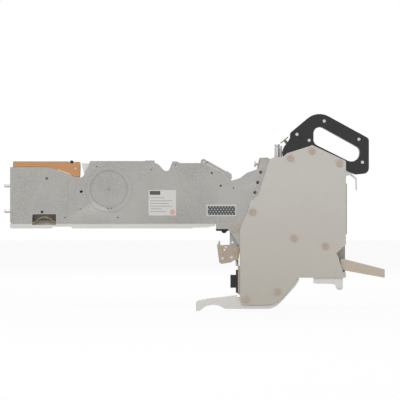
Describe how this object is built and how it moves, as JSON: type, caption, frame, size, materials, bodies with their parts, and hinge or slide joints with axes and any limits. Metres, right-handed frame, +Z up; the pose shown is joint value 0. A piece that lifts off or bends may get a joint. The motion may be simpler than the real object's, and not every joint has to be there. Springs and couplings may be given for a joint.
{
  "type": "smt tape feeder",
  "caption": "Slim electric tape feeder for a placement machine: long aluminium body with sprocket drive, tape guide and take-up, tall rear box with docking connector, clamp and grip handle.",
  "frame": {"origin": "underside of the slide rail, mid-width, directly below the pick-up point", "axes": "+X from the nose to the handle, +Y from the outer side to the inner side, +Z up"},
  "size_m": [0.534, 0.0256, 0.2761],
  "materials": {
    "cast_aluminium": "fine shot-blasted and clear anodised",
    "cover_paint": "satin warm grey powder coat",
    "clear_plastic": "milky translucent plastic",
    "amber_guide": "hard-coated copper-orange guide",
    "steel": "bright plated steel",
    "tan_steel": "yellow-passivated steel",
    "dark_motor": "dark satin case",
    "gear_plastic": "natural acetal",
    "brass": "turned brass",
    "bronze": "copper-coloured spring strip",
    "black_rubber": "matt black rubber",
    "handle_plastic": "fine-grained black moulding",
    "black_plastic": "black connector plastic",
    "beige_plastic": "beige moulded plastic",
    "foot_plastic": "dark foot",
    "gold_contact": "gold-plated contact",
    "board": "green circuit board"
  },
  "bodies": {
    "feeder_frame": {"main_frame": "cast_aluminium", "side_plate": "cast_aluminium", "side_plate_screws": "steel", "bottom_rail": "clear_plastic", "locating_pins": "steel", "earth_spring": "bronze", "guide_hinge_pin": "steel", "clear_stop": "clear_plastic", "idler_pins": "steel", "feed_motor": "dark_motor", "takeup_motor": "dark_motor", "lid_hinge_pin": "steel", "top_pad": "black_rubber", "rubber_buffer": "black_rubber", "buffer_roller": "black_plastic", "clamp_pin": "tan_steel", "clamp_spring": "steel", "lever_pin": "steel", "lever_bracket": "steel", "box_rim": "cast_aluminium", "near_cover": "cover_paint", "far_cover": "cover_paint", "cover_screws": "tan_steel", "spacer_posts": "steel", "bottom_guide": "clear_plastic", "inlet_guide": "clear_plastic", "inlet_foot": "foot_plastic", "inlet_chute": "beige_plastic", "inner_guide": "steel", "rear_plate": "cover_paint", "handle_near": "handle_plastic", "handle_far": "handle_plastic", "handle_screws": "steel", "panel_bracket": "tan_steel", "signal_post": "steel", "post_sleeve": "clear_plastic", "connector_housing": "black_plastic", "connector_contacts": "gold_contact", "connector_plate": "tan_steel", "control_board": "board", "board_spacers": "brass"},
    "sprocket_set": {"sprocket": "steel", "sprocket_gear": "gear_plastic"},
    "idler_front": {"idler_front": "gear_plastic"},
    "idler_rear": {"idler_rear": "gear_plastic"},
    "motor_rotor": {"motor_pinion": "brass"},
    "takeup_roller": {"takeup_roller": "steel"},
    "pinch_roller": {"pinch_roller": "black_rubber"},
    "takeup_rotor": {"takeup_pinion": "brass"},
    "takeup_lid": {"takeup_lid": "cast_aluminium", "lid_clip": "tan_steel"},
    "tape_guide": {"tape_guide": "amber_guide", "guide_roller": "black_rubber"},
    "release_lever": {"release_lever": "steel"},
    "link_bar": {"link_bar": "steel"},
    "clamp": {"clamp_bracket": "tan_steel", "clamp_rivets": "steel"},
    "feed_button": {"feed_button": "steel"},
    "top_button": {"top_button": "tan_steel"}
  },
  "joints": [
    {"name": "sprocket_spin", "type": "hinge", "parent": "feeder_frame", "child": "sprocket_set", "pos_m": [0.004, 0, 0.07013], "axis": [0, 1, 0], "continuous": true},
    {"name": "idler_front_spin", "type": "hinge", "parent": "feeder_frame", "child": "idler_front", "pos_m": [0.01677, 0, 0.04611], "axis": [0, 1, 0], "continuous": true},
    {"name": "idler_rear_spin", "type": "hinge", "parent": "feeder_frame", "child": "idler_rear", "pos_m": [0.03512, 0, 0.03326], "axis": [0, 1, 0], "continuous": true},
    {"name": "feed_motor_spin", "type": "hinge", "parent": "feeder_frame", "child": "motor_rotor", "pos_m": [0.05015, 0, 0.03874], "axis": [0, 1, 0], "continuous": true},
    {"name": "takeup_spin", "type": "hinge", "parent": "feeder_frame", "child": "takeup_roller", "pos_m": [0.255, 0, 0.072], "axis": [0, 1, 0], "continuous": true},
    {"name": "pinch_spin", "type": "hinge", "parent": "feeder_frame", "child": "pinch_roller", "pos_m": [0.26207, 0, 0.07907], "axis": [0, 1, 0], "continuous": true},
    {"name": "takeup_motor_spin", "type": "hinge", "parent": "feeder_frame", "child": "takeup_rotor", "pos_m": [0.2425, 0, 0.072], "axis": [0, 1, 0], "continuous": true},
    {"name": "lid_hinge", "type": "hinge", "parent": "feeder_frame", "child": "takeup_lid", "pos_m": [0.25, 0, 0.0931], "axis": [0, -1, 0], "range_deg": [0, 75]},
    {"name": "guide_hinge", "type": "hinge", "parent": "feeder_frame", "child": "tape_guide", "pos_m": [0.0705, 0, 0.084], "axis": [0, 1, 0], "range_deg": [0, 16]},
    {"name": "lever_pull", "type": "hinge", "parent": "feeder_frame", "child": "release_lever", "pos_m": [0.4543, 0, 0.078], "axis": [0, -1, 0], "range_deg": [0, 18], "stiffness_Nm_per_rad": 0.4},
    {"name": "link_slide", "type": "slide", "parent": "feeder_frame", "child": "link_bar", "axis": [-0.77, 0, -0.638], "range_m": [0, 0.0034]},
    {"name": "clamp_swing", "type": "hinge", "parent": "feeder_frame", "child": "clamp", "pos_m": [0.2942, 0, -0.0301], "axis": [0, 1, 0], "range_deg": [0, 15]},
    {"name": "feed_button_press", "type": "slide", "parent": "feeder_frame", "child": "feed_button", "axis": [1, 0, 0], "range_m": [0, 0.0015], "stiffness_N_per_m": 400},
    {"name": "top_button_press", "type": "slide", "parent": "feeder_frame", "child": "top_button", "axis": [0.6293, 0, -0.7771], "range_m": [0, 0.0018], "stiffness_N_per_m": 400}
  ],
  "couplings": [
    {"joint": "idler_front_spin", "follows": "sprocket_spin", "ratio": -1.4286},
    {"joint": "idler_rear_spin", "follows": "sprocket_spin", "ratio": 1.4286},
    {"joint": "feed_motor_spin", "follows": "sprocket_spin", "ratio": -3.3333},
    {"joint": "pinch_spin", "follows": "takeup_spin", "ratio": -1},
    {"joint": "takeup_motor_spin", "follows": "takeup_spin", "ratio": -0.66667},
    {"joint": "link_slide", "follows": "lever_pull", "m_per_rad": 0.0108},
    {"joint": "clamp_swing", "follows": "lever_pull", "ratio": 0.8333}
  ]
}
